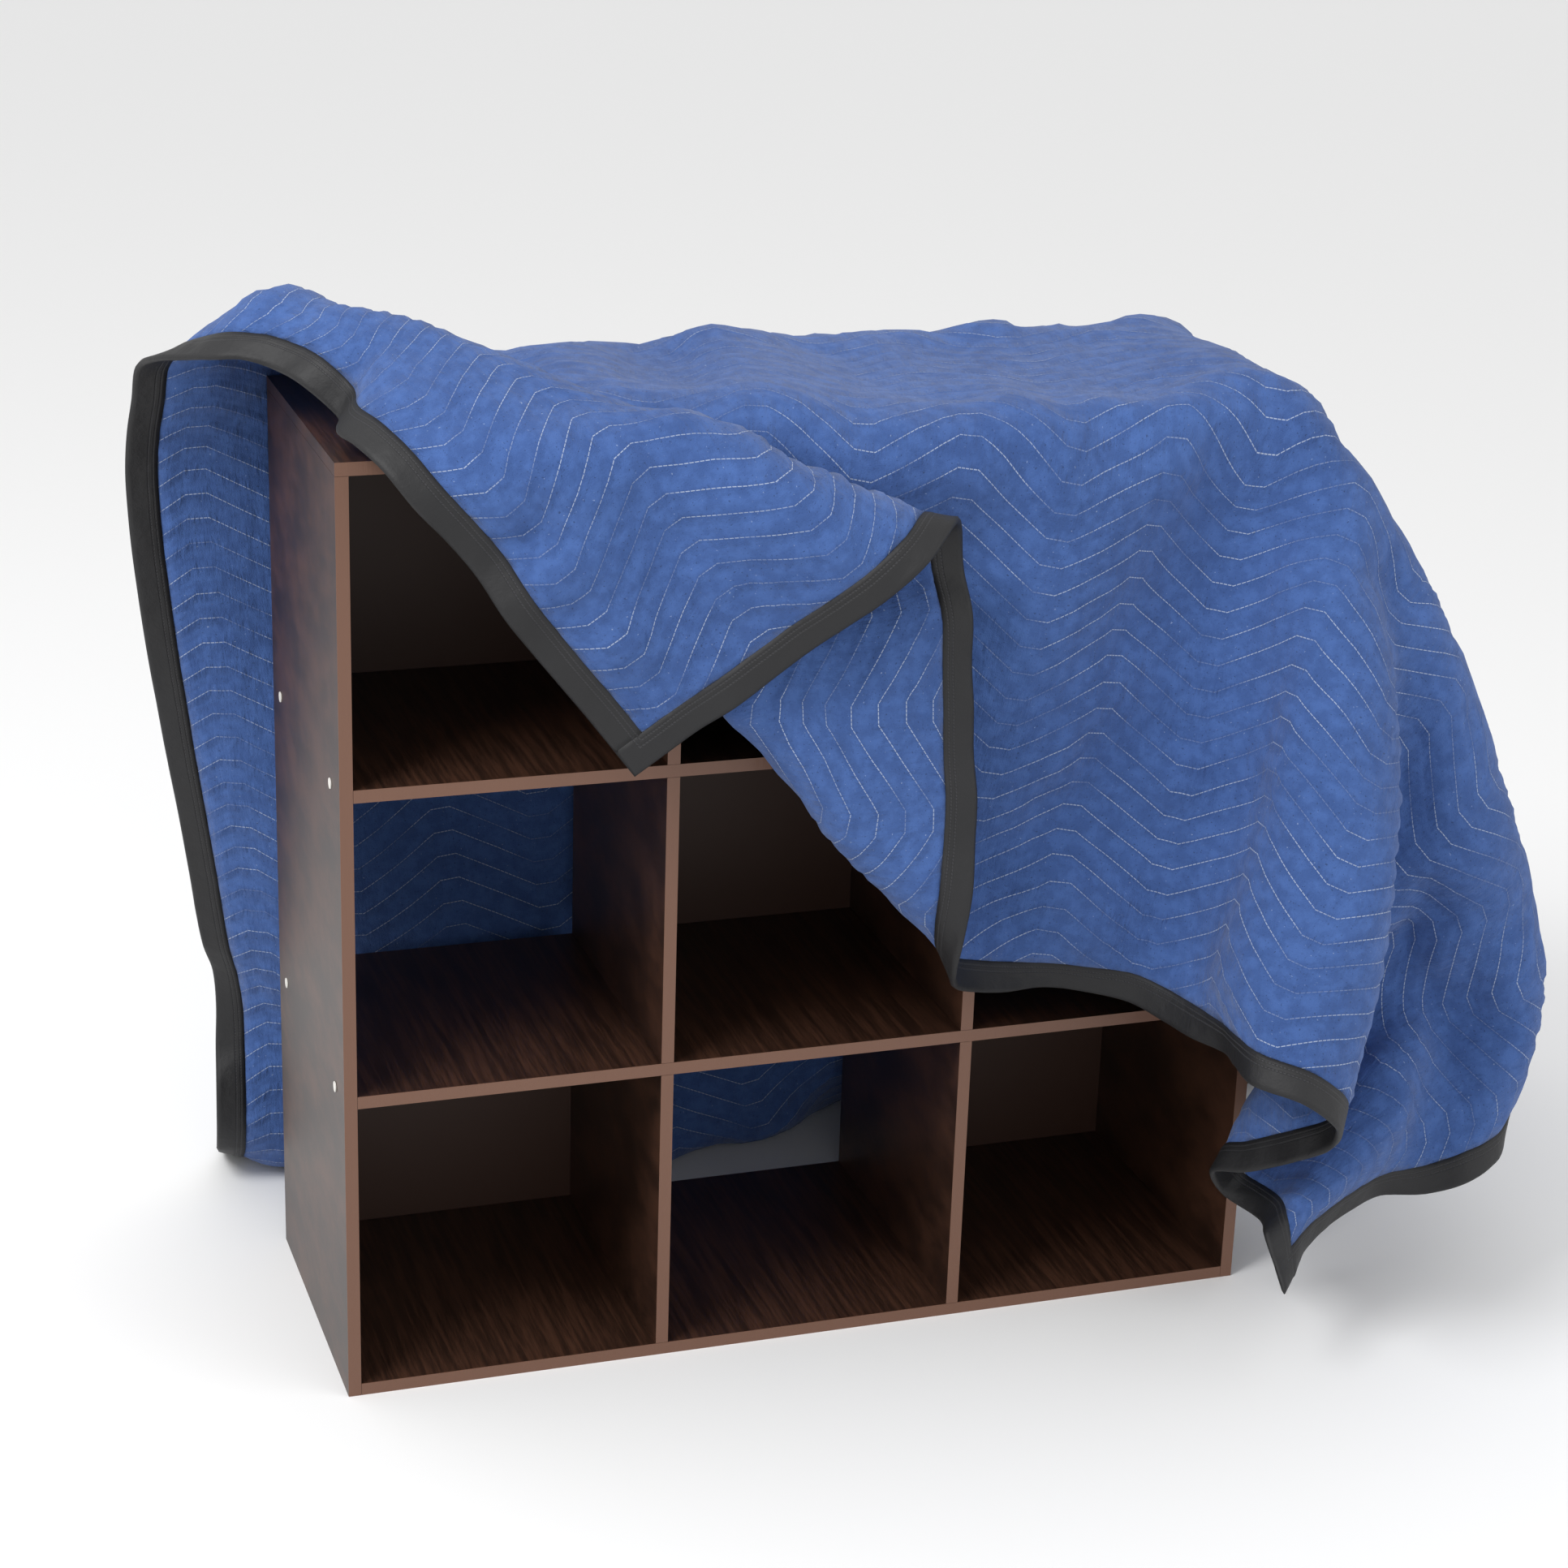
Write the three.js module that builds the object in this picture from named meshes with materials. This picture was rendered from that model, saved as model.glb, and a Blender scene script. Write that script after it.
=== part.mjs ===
import * as THREE from "three";

// A quilted moving blanket laid over a cube bookcase, its front edge thrown back across the top.
// Millimetres. x runs to the right, y to the back and z up, from the centre of the case's underside.

// ---- Cube bookcase ----
const CASE_WIDTH = 909;
const CASE_DEPTH = 324;
const CASE_HEIGHT = 900;
const BOARD = 12;
const CELLS = 3;
const BACK_SHEET = 3;
const CAP_RADIUS = 5;
const CAP_HEIGHT = 1;
const CAP_FROM_EDGE = 40;
const GAP = 0.3;
// Cells that have a back sheet: column from the left, row from the floor.
const BACKED_CELLS = [
  { column: 0, row: 0 },
  { column: 2, row: 0 },
  { column: 1, row: 1 },
  { column: 0, row: 2 },
  { column: 1, row: 2 },
];

// ---- Blanket, flat: u runs along the front hem and v from the front hem to the back hem ----
const BLANKET_WIDTH = 1829;
const BLANKET_LENGTH = 2032;
const BINDING_WIDTH = 30;
const PANEL_THICKNESS = 3;
const BINDING_THICKNESS = 3;
const SEAM_GAP = 2.5;
const CELLS_U = 45;
const CELLS_V = 50;

// The thrown-back corner turns on two slanting lines, each from the front hem to the left edge.
const RIDGE = { u: 378, v: 555 };
const CREASE = { u: 848, v: 650 };
// The cloth between the two lines is taken up by this share, in small puckers.
const TAKE_UP = 0.2;

// ---- How the cloth settles ----
const STEPS = 400;
const FREE_STEPS = 25;
const CLEARING_ROUNDS = 24;
const IRON_ROUNDS = 8;
const IRON = 0.3;
const SEAM_COSINE = 0.8;
const IRONED = [
  { left: 0, right: 330, from: 250, to: 620 },
  { left: 1640, right: 1829, from: 0, to: 160 },
];
const PASSES = 12;
const DAMPING = 0.9;
const FALL = 0.25;
const BEND_PULL = 0.5;
const SHEAR_PULL = 0.35;
const CLEARANCE = 7;
const LAYER_GAP = 24;
const LAYER_DEPTH = 88;
const LAYER_TOP_SHARE = 0.42;
const LAYER_REACH = 170;
const FLOOR_CLEARANCE = 4;

// Places that the cloth is led through. Every row: u, v on the flat cloth, then x, y, z.
// Front hem, from its left corner up to the ridge, down again and round to its right corner.
const FRONT_HEM = [
  [0, 0, -210, -235, 620],
  [99, 0, -135, -255, 685],
  [191, 0, -60, -275, 740],
  [255, 0, -15, -300, 780],
  [378, 0, 65, -265, 835],
  [465, 0, 95, -235, 770],
  [565, 0, 95, -245, 665],
  [665, 0, 95, -265, 565],
  [845, 0, 110, -250, 405],
  [960, 0, 200, -205, 360],
  [1062, 0, 295, -215, 340],
  [1162, 0, 325, -310, 335],
  [1253, 0, 350, -400, 335],
  [1360, 0, 405, -435, 300],
  [1460, 0, 420, -365, 235],
  [1565, 0, 395, -285, 170],
  [1628, 0, 380, -240, 110],
  [1829, 0, 400, -365, 90],
];
// Corner flap: it hangs in front with its reverse to the case, and rises to the ridge.
const FLAP = [
  [65, 98, -215, -245, 740],
  [65, 150, -250, -240, 780],
  [65, 227, -290, -230, 840],
  [65, 279, -320, -230, 880],
  [165, 69, -125, -265, 780],
  [165, 146, -170, -255, 840],
  [165, 224, -215, -245, 905],
  [165, 301, -255, -200, 945],
  [165, 343, -275, -165, 960],
  [265, 48, -40, -295, 825],
  [265, 100, -65, -285, 865],
  [265, 152, -95, -260, 900],
  [265, 203, -120, -220, 925],
  [90, 441, -380, -110, 970],
  [131, 385, -325, -145, 970],
  [221, 262, -190, -205, 950],
];
// Strip between the ridge and the crease, turned back under the flap.
const STRIP = [
  [465, 47, 50, -240, 770],
  [565, 70, 30, -260, 675],
  [565, 200, -90, -250, 680],
  [665, 45, 55, -275, 575],
  [665, 123, -20, -260, 575],
  [694, 119, -15, -250, 545],
  [572, 240, -120, -230, 670],
];
// Drape over the front of the case, crest and trough in turn, with its turn over the top edge.
const FRONT = [
  [965, 68, 210, -200, 425],
  [965, 171, 230, -185, 520],
  [965, 249, 245, -190, 595],
  [965, 378, 270, -185, 720],
  [965, 585, 325, -150, 905],
  [1065, 43, 305, -215, 385],
  [1065, 146, 320, -210, 485],
  [1065, 224, 335, -210, 560],
  [1065, 327, 360, -190, 655],
  [1065, 534, 405, -175, 850],
  [1165, 68, 340, -300, 400],
  [1165, 171, 370, -290, 500],
  [1165, 275, 395, -275, 600],
  [1165, 352, 415, -265, 670],
  [1165, 481, 465, -235, 785],
  [1265, 43, 345, -400, 380],
  [1265, 94, 365, -385, 425],
  [1265, 146, 395, -380, 470],
  [1265, 198, 420, -370, 515],
  [765, 585, 130, -120, 910],
  [865, 536, 215, -175, 885],
  [1105, 580, 455, -170, 895],
];
// Fold that stands out in front of the right corner, and the cloth behind it down to the hem.
const RIGHT_FOLD = [
  [1320, 100, 420, -405, 405],
  [1285, 200, 440, -375, 510],
  [1250, 320, 455, -325, 625],
  [1211, 430, 475, -265, 740],
  [1465, 42, 420, -340, 265],
  [1565, 66, 410, -250, 225],
  [1565, 267, 575, -220, 390],
  [1665, 193, 545, -250, 280],
  [1665, 243, 590, -245, 295],
  [1765, 242, 600, -265, 190],
  [1175, 545, 500, -200, 835],
  [1247, 470, 515, -230, 735],
  [1369, 380, 540, -245, 585],
  [1522, 292, 570, -245, 430],
  [1670, 290, 630, -230, 300],
];
// Right hem, from the front corner backwards.
const RIGHT_HEM = [
  [1829, 51, 420, -325, 115],
  [1829, 84, 450, -290, 125],
  [1829, 142, 505, -270, 130],
  [1829, 195, 555, -270, 125],
  [1829, 235, 595, -280, 125],
  [1829, 292, 650, -275, 145],
];
// Left hem: up the flap, over the ridge and the hump on the top, and down behind the case.
const LEFT_HEM = [
  [0, 88, -265, -225, 690],
  [0, 164, -310, -225, 750],
  [0, 249, -355, -215, 815],
  [0, 301, -385, -215, 855],
  [0, 355, -415, -200, 895],
  [0, 407, -430, -155, 905],
  [0, 462, -435, -100, 915],
  [0, 492, -445, -80, 930],
  [0, 518, -460, -65, 950],
  [0, 562, -470, -20, 950],
  [0, 590, -485, -10, 955],
  [0, 667, -530, 35, 940],
  [0, 723, -555, 80, 920],
  [0, 821, -580, 160, 880],
  [0, 878, -590, 185, 825],
  [0, 960, -585, 200, 745],
  [0, 1054, -570, 215, 650],
  [0, 1154, -555, 230, 550],
  [0, 1246, -540, 245, 460],
  [0, 1418, -515, 275, 290],
  [0, 1525, -500, 295, 190],
  [0, 1730, -500, 345, 20],
];
// Where the back drape meets the floor.
const BACK_FOOT = [
  [85, 1719, -425, 310, 10],
  [450, 1708, -40, 205, 15],
  [580, 1712, 95, 230, 20],
];
// Places that only shape the start: the crease's back end, the back drape and the right drape.
const START_CREASE = [
  [440, 320, -260, -175, 760],
  [350, 385, -335, -175, 845],
  [250, 462, -420, -140, 905],
  [150, 540, -475, -45, 905],
];
const START_BACK = [
  [450, 1300, -20, 205, 540],
  [230, 1300, -290, 230, 520],
  [850, 1300, 330, 215, 540],
  [850, 1830, 275, 330, 10],
  [470, 1829, -20, 330, 5],
  [0, 1829, -470, 420, 5],
  [0, 2032, -390, 605, 5],
  [470, 2032, -20, 535, 5],
  [850, 2032, 265, 530, 5],
];
const START_RIGHT = [
  [1829, 780, 480, 0, 100],
  [1440, 780, 465, 0, 530],
  [1829, 400, 640, -140, 100],
  [1829, 500, 560, -90, 100],
  [1829, 620, 485, -90, 95],
  [1530, 400, 590, -150, 400],
  [1350, 450, 540, -165, 600],
  [1395, 205, 460, -235, 400],
  [1711, 60, 440, -235, 140],
  [1666, 110, 480, -215, 195],
  [1756, 140, 520, -240, 200],
];

// Flat lie of the front drape and the top: turned by 11 degrees, folded over the top front edge.
const LIE = { u: 965, v: 378, x: 266, y: -172, z: 719, top: 905, left: -470, turn: 11 };
const LIE_PLACES = [
  { u: 900, v: 60 },
  { u: 800, v: 120 },
  { u: 720, v: 220 },
  { u: 630, v: 320 },
  { u: 810, v: 300 },
  { u: 720, v: 420 },
  { u: 585, v: 420 },
  { u: 500, v: 420 },
  { u: 810, v: 480 },
  { u: 630, v: 480 },
  { u: 480, v: 520 },
  { u: 400, v: 560 },
  { u: 540, v: 620 },
  { u: 315, v: 700 },
  { u: 180, v: 780 },
];

// Cone that the back right corner starts from: its point on the cloth and in space.
const CONE = { u: 1010, v: 922, x: 463, y: 171, z: 905, half: 14.5, heading: 38, spread: 0.2 };
const CONE_RADII = [260, 540, 820, 1000, 1200, 1400];
const CONE_STEP = 15;

const MATERIALS = {
  board: new THREE.MeshStandardMaterial({ color: 0x3b2a22, roughness: 0.55 }),
  backSheet: new THREE.MeshStandardMaterial({ color: 0x3a2b24, roughness: 0.7 }),
  cap: new THREE.MeshStandardMaterial({ color: 0xd9d6ce, roughness: 0.5 }),
  cloth: new THREE.MeshStandardMaterial({ color: 0x3f5c86, roughness: 0.95 }),
  binding: new THREE.MeshStandardMaterial({ color: 0x15161a, roughness: 0.85 }),
};

// Shares of a triangle's three corners, for places spread over it.
const PROBES = [];
for (let a = 0; a <= 5; a += 1) {
  for (let b = 0; a + b <= 5; b += 1) PROBES.push([a / 5, b / 5, (5 - a - b) / 5]);
}

const radians = (degrees) => (degrees * Math.PI) / 180;
const clamp01 = (value) => Math.min(1, Math.max(0, value));
const smooth = (value) => {
  const t = clamp01(value);
  return t * t * (3 - 2 * t);
};

// ---- The flat cloth's grid ----

function gridLine(length, cells) {
  const inner = (length - 2 * BINDING_WIDTH) / (cells - 2);
  const line = [0];
  for (let i = 0; i <= cells - 2; i += 1) line.push(BINDING_WIDTH + inner * i);
  line.push(length);
  return line;
}

const LINE_U = gridLine(BLANKET_WIDTH, CELLS_U);
const LINE_V = gridLine(BLANKET_LENGTH, CELLS_V);
const NU = LINE_U.length;
const NV = LINE_V.length;
const at = (i, j) => j * NU + i;

// 0 on the flap's side of the ridge, 1 beyond the crease, and the share of the way between them.
function stripPlace(u, v) {
  const beyond = (s) => {
    const across = RIDGE.u + s * (CREASE.u - RIDGE.u);
    const back = RIDGE.v + s * (CREASE.v - RIDGE.v);
    return u / across + v / back - 1;
  };
  if (beyond(0) <= 0) return 0;
  if (beyond(1) >= 0) return 1;
  let low = 0;
  let high = 1;
  for (let k = 0; k < 40; k += 1) {
    const middle = (low + high) / 2;
    if (beyond(middle) > 0) low = middle;
    else high = middle;
  }
  return (low + high) / 2;
}

// ---- Guides ----

const led = (table, pull) => table.map(([u, v, x, y, z]) => ({ u, v, x, y, z, pull }));

function liePlace({ u, v }) {
  const c = Math.cos(radians(LIE.turn));
  const s = Math.sin(radians(LIE.turn));
  const du = u - LIE.u;
  const dv = v - LIE.v;
  const along = LIE.x + du * c + dv * s;
  const x = Math.max(along, LIE.left + 0.1 * (along - LIE.left));
  const z = LIE.z - du * s + dv * c;
  const over = Math.max(0, z - LIE.top);
  return { u, v, x, y: LIE.y + over, z: over > 0 ? LIE.top + 2 : z, pull: 0 };
}

function conePlaces() {
  const half = radians(CONE.half);
  const heading = radians(CONE.heading);
  const axis = [
    Math.sin(half) * Math.cos(heading),
    Math.sin(half) * Math.sin(heading),
    -Math.cos(half),
  ];
  const outward = [
    -Math.cos(half) * Math.cos(heading),
    -Math.cos(half) * Math.sin(heading),
    -Math.sin(half),
  ];
  const sideways = [Math.sin(heading), -Math.cos(heading), 0];
  const places = [];
  for (let turn = 0; turn <= 90; turn += CONE_STEP) {
    const round = radians(4 * turn);
    const way = axis.map((a, k) => {
      const ring = Math.cos(round) * outward[k] + Math.sin(round) * sideways[k];
      return Math.cos(half) * a + Math.sin(half) * ring;
    });
    const toFloor = (CONE.z - 8) / -way[2];
    const run = heading + radians(((4 * turn - 180) / 2) * 0.9);
    for (const radius of CONE_RADII) {
      const u = CONE.u + radius * Math.cos(radians(turn));
      const v = CONE.v + radius * Math.sin(radians(turn));
      if (u > BLANKET_WIDTH + 4 || v > BLANKET_LENGTH + 4) continue;
      const down = Math.min(radius, toFloor);
      const onFloor = Math.max(0, radius - toFloor);
      const spread = (CONE.spread * down * (45 - turn)) / 45;
      const x = CONE.x + down * way[0] + onFloor * Math.cos(run) + spread * sideways[0];
      const y = CONE.y + down * way[1] + onFloor * Math.sin(run) + spread * sideways[1];
      places.push({ u, v, x, y, z: Math.max(6, CONE.z + down * way[2]), pull: 0 });
    }
  }
  return places;
}

const GUIDES = [
  ...led(FRONT_HEM, 0.5),
  ...led(FLAP, 0.5),
  ...led(STRIP, 0.5),
  ...led(FRONT, 0.5),
  ...led(RIGHT_FOLD, 0.35),
  ...led(RIGHT_HEM, 0.5),
  ...led(LEFT_HEM, 0.5),
  ...led(BACK_FOOT, 0.5),
  ...led(START_CREASE, 0),
  ...led(START_BACK, 0),
  ...led(START_RIGHT, 0),
  ...LIE_PLACES.map(liePlace),
  ...conePlaces(),
];

// Thin-plate spline through guides: a smooth place in space for every u, v.
function splineThrough(guides) {
  const count = guides.length;
  const size = count + 3;
  const kernel = (du, dv) => {
    const square = (du * du + dv * dv) / 1e6;
    return square > 0 ? 0.5 * square * Math.log(square) : 0;
  };
  const rows = [];
  for (let i = 0; i < size; i += 1) rows.push(new Float64Array(size + 3));
  guides.forEach((a, i) => {
    guides.forEach((b, j) => {
      rows[i][j] = kernel(a.u - b.u, a.v - b.v);
    });
    rows[i][i] += 0.0002;
    rows[i].set([1, a.u / 1000, a.v / 1000, a.x, a.y, a.z], count);
    rows[count][i] = 1;
    rows[count + 1][i] = a.u / 1000;
    rows[count + 2][i] = a.v / 1000;
  });
  for (let c = 0; c < size; c += 1) {
    let best = c;
    for (let r = c; r < size; r += 1) {
      if (Math.abs(rows[r][c]) > Math.abs(rows[best][c])) best = r;
    }
    [rows[c], rows[best]] = [rows[best], rows[c]];
    for (let r = 0; r < size; r += 1) {
      const share = r === c ? 0 : rows[r][c] / rows[c][c];
      if (share === 0) continue;
      for (let k = c; k < size + 3; k += 1) rows[r][k] -= share * rows[c][k];
    }
  }
  const weight = (i, d) => rows[i][size + d] / rows[i][i];
  return (u, v) => {
    const place = [0, 1, 2].map((d) => {
      const slope = (weight(count + 1, d) * u + weight(count + 2, d) * v) / 1000;
      return weight(count, d) + slope;
    });
    guides.forEach((g, i) => {
      const f = kernel(u - g.u, v - g.v);
      for (let d = 0; d < 3; d += 1) place[d] += f * weight(i, d);
    });
    return place;
  };
}

// The flap and the rest start on their own splines, the strip straight between the two.
function startShape() {
  const isFlap = (g) => stripPlace(g.u, g.v) <= 0.12 && g.u < 500 && g.v < 640;
  const flap = splineThrough(GUIDES.filter(isFlap));
  const rest = splineThrough(GUIDES.filter((g) => stripPlace(g.u, g.v) >= 0.85));
  const start = new Float64Array(3 * NU * NV);
  LINE_V.forEach((v, j) => {
    LINE_U.forEach((u, i) => {
      const s = stripPlace(u, v);
      let place;
      if (s <= 0) place = flap(u, v);
      else if (s >= 1) place = rest(u, v);
      else {
        const share = u / (RIDGE.u + s * (CREASE.u - RIDGE.u));
        const ridge = flap(RIDGE.u * share, RIDGE.v * (1 - share));
        const crease = rest(CREASE.u * share, CREASE.v * (1 - share));
        place = ridge.map((a, d) => a + s * (crease[d] - a));
      }
      start.set(place, 3 * at(i, j));
    });
  });
  return start;
}

// ---- Settling ----

// Links between neighbours keep the cloth's lengths; links two cells long resist bending.
function clothLinks() {
  const lengthShare = (u, v) => {
    const s = stripPlace(u, v);
    if (s <= 0 || s >= 1) return 1;
    const inStrip = Math.min(1, Math.min(s, 1 - s) / 0.15);
    return 1 - TAKE_UP * smooth((v - 60) / 160) * inStrip;
  };
  const groups = [];
  const addGroup = (kind, pull, wanted, offset) => {
    const links = [];
    const [di, dj, fromI] = offset;
    for (let j = 0; j + dj < NV; j += 1) {
      for (let i = 0; i < NU; i += 1) {
        if (i + di >= NU || i + di < 0 || !wanted(i, j)) continue;
        const a = at(i + fromI, j);
        const b = at(i + di - fromI, j + dj);
        const ua = LINE_U[i + fromI];
        const ub = LINE_U[i + di - fromI];
        const share = lengthShare((ua + ub) / 2, (LINE_V[j] + LINE_V[j + dj]) / 2);
        links.push({ a, b, rest: share * Math.hypot(ua - ub, LINE_V[j] - LINE_V[j + dj]) });
      }
    }
    groups.push({ kind, pull, links });
  };
  for (const part of [0, 1]) addGroup("stretch", 1, (i) => i % 2 === part, [1, 0, 0]);
  for (const part of [0, 1]) addGroup("stretch", 1, (i, j) => j % 2 === part, [0, 1, 0]);
  for (const part of [0, 1]) addGroup("shear", SHEAR_PULL, (i) => i % 2 === part, [1, 1, 0]);
  for (const part of [0, 1]) addGroup("shear", SHEAR_PULL, (i) => i % 2 === part, [1, 1, 1]);
  for (const part of [0, 1]) addGroup("bend", BEND_PULL, (i) => (i >> 1) % 2 === part, [2, 0, 0]);
  for (const part of [0, 1]) addGroup("bend", BEND_PULL, (i, j) => (j >> 1) % 2 === part, [0, 2, 0]);
  return groups;
}

// Each guide pulls on the four corners of its cell.
function guideHolds() {
  const cellOf = (line, value) => {
    let k = 0;
    while (k < line.length - 2 && line[k + 1] < value) k += 1;
    return [k, (value - line[k]) / (line[k + 1] - line[k])];
  };
  return GUIDES.filter((g) => g.pull > 0).map((g) => {
    const [i, s] = cellOf(LINE_U, g.u);
    const [j, t] = cellOf(LINE_V, g.v);
    const corners = [at(i, j), at(i + 1, j), at(i, j + 1), at(i + 1, j + 1)];
    const weights = [(1 - s) * (1 - t), s * (1 - t), (1 - s) * t, s * t];
    const pull = g.pull / weights.reduce((sum, w) => sum + w * w, 0);
    return { target: [g.x, g.y, g.z], corners, weights, pull };
  });
}

// Way out of the case, rounded by the clearance; null for a place that is clear of it.
function wayOut(x, y, z) {
  const dx = Math.abs(x) - CASE_WIDTH / 2;
  const dy = Math.abs(y) - CASE_DEPTH / 2;
  const dz = z - CASE_HEIGHT;
  if (dx >= CLEARANCE || dy >= CLEARANCE || dz >= CLEARANCE) return null;
  const ax = Math.max(dx, 0);
  const ay = Math.max(dy, 0);
  const az = Math.max(dz, 0);
  const distance = Math.hypot(ax, ay, az);
  if (distance >= CLEARANCE) return null;
  if (distance > 0) {
    const share = (CLEARANCE - distance) / distance;
    return [Math.sign(x) * ax * share, Math.sign(y) * ay * share, az * share];
  }
  if (dz >= dx && dz >= dy) return [0, 0, CLEARANCE - dz];
  if (dy >= dx) return [0, Math.sign(y) * (CLEARANCE - dy), 0];
  return [Math.sign(x) * (CLEARANCE - dx), 0, 0];
}

// The flap lies over two other layers: how far each of its corners stays off the case.
function layerDepths() {
  const depths = new Float64Array(NU * NV);
  const slope = Math.hypot(1 / RIDGE.u, 1 / RIDGE.v);
  LINE_V.forEach((v, j) => {
    LINE_U.forEach((u, i) => {
      const fromRidge = (1 - u / RIDGE.u - v / RIDGE.v) / slope;
      if (stripPlace(u, v) > 0 || fromRidge >= LAYER_REACH || u < 60) return;
      depths[at(i, j)] = LAYER_DEPTH * Math.min(1, (u - 30) / 70);
    });
  });
  return depths;
}

// Pairs of corners that aren't neighbours on the cloth but are near each other in space.
function nearPairs(P) {
  const reach = LAYER_GAP + 14;
  const boxes = new Map();
  const boxKey = (a, b, c) => (a + 200) * 160000 + (b + 200) * 400 + (c + 200);
  const boxOf = (p) => [0, 1, 2].map((d) => Math.floor(P[3 * p + d] / reach));
  for (let p = 0; p < NU * NV; p += 1) {
    const key = boxKey(...boxOf(p));
    if (!boxes.has(key)) boxes.set(key, []);
    boxes.get(key).push(p);
  }
  const near = (p, q) => {
    if (q <= p) return false;
    const apartI = Math.abs((p % NU) - (q % NU));
    const apartJ = Math.abs(Math.floor(p / NU) - Math.floor(q / NU));
    if (apartI < 3 && apartJ < 3) return false;
    const x = P[3 * p] - P[3 * q];
    const y = P[3 * p + 1] - P[3 * q + 1];
    const z = P[3 * p + 2] - P[3 * q + 2];
    return x * x + y * y + z * z < reach * reach;
  };
  const pairs = [];
  for (let p = 0; p < NU * NV; p += 1) {
    const [a, b, c] = boxOf(p);
    for (let k = 0; k < 27; k += 1) {
      const key = boxKey(a + Math.floor(k / 9) - 1, b + (Math.floor(k / 3) % 3) - 1, c + (k % 3) - 1);
      for (const q of boxes.get(key) ?? []) if (near(p, q)) pairs.push([p, q]);
    }
  }
  return pairs;
}

// Places spread over every triangle are pushed out of the case, with the triangle's corners.
function clearTriangles(P) {
  const clear = (corners) => {
    for (const shares of PROBES) {
      const place = [0, 1, 2].map((d) => corners.reduce((sum, p, k) => sum + shares[k] * P[3 * p + d], 0));
      const way = wayOut(...place);
      if (!way) continue;
      for (const p of corners) for (let d = 0; d < 3; d += 1) P[3 * p + d] += way[d];
    }
  };
  for (let j = 1; j < NV - 2; j += 1) {
    for (let i = 1; i < NU - 2; i += 1) {
      clear([at(i, j), at(i + 1, j), at(i + 1, j + 1)]);
      clear([at(i, j), at(i + 1, j + 1), at(i, j + 1)]);
    }
  }
}

// Tight folds are ironed a little, so that the sheet's two faces stay apart in them.
function ironFolds(P) {
  const ironed = Float64Array.from(P);
  const inside = (u, v) => IRONED.some((r) => u > r.left && u < r.right && v > r.from && v < r.to);
  for (let j = 1; j < NV - 1; j += 1) {
    for (let i = 1; i < NU - 1; i += 1) {
      if (!inside(LINE_U[i], LINE_V[j]) || stripPlace(LINE_U[i], LINE_V[j]) === 0) continue;
      const around = [at(i - 1, j), at(i + 1, j), at(i, j - 1), at(i, j + 1)];
      for (let d = 0; d < 3; d += 1) {
        const mean = around.reduce((sum, q) => sum + P[3 * q + d], 0) / 4;
        ironed[3 * at(i, j) + d] += IRON * (mean - P[3 * at(i, j) + d]);
      }
    }
  }
  P.set(ironed);
}

// A binding never folds sharply along its seam: its outer edge is turned towards the cloth's line.
function straightenBinding(P) {
  const point = (p) => new THREE.Vector3(P[3 * p], P[3 * p + 1], P[3 * p + 2]);
  const straighten = (edge, seam, inner) => {
    const line = point(seam).sub(point(inner)).normalize();
    const way = point(edge).sub(point(seam)).normalize();
    while (way.dot(line) < SEAM_COSINE) way.addScaledVector(line, 0.3).normalize();
    const place = point(seam).addScaledVector(way, BINDING_WIDTH);
    P.set([place.x, place.y, Math.max(place.z, FLOOR_CLEARANCE)], 3 * edge);
  };
  for (let i = 0; i < NU; i += 1) {
    straighten(at(i, 0), at(i, 1), at(i, 2));
    straighten(at(i, NV - 1), at(i, NV - 2), at(i, NV - 3));
  }
  for (let j = 0; j < NV; j += 1) {
    straighten(at(0, j), at(1, j), at(2, j));
    straighten(at(NU - 1, j), at(NU - 2, j), at(NU - 3, j));
  }
}

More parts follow.
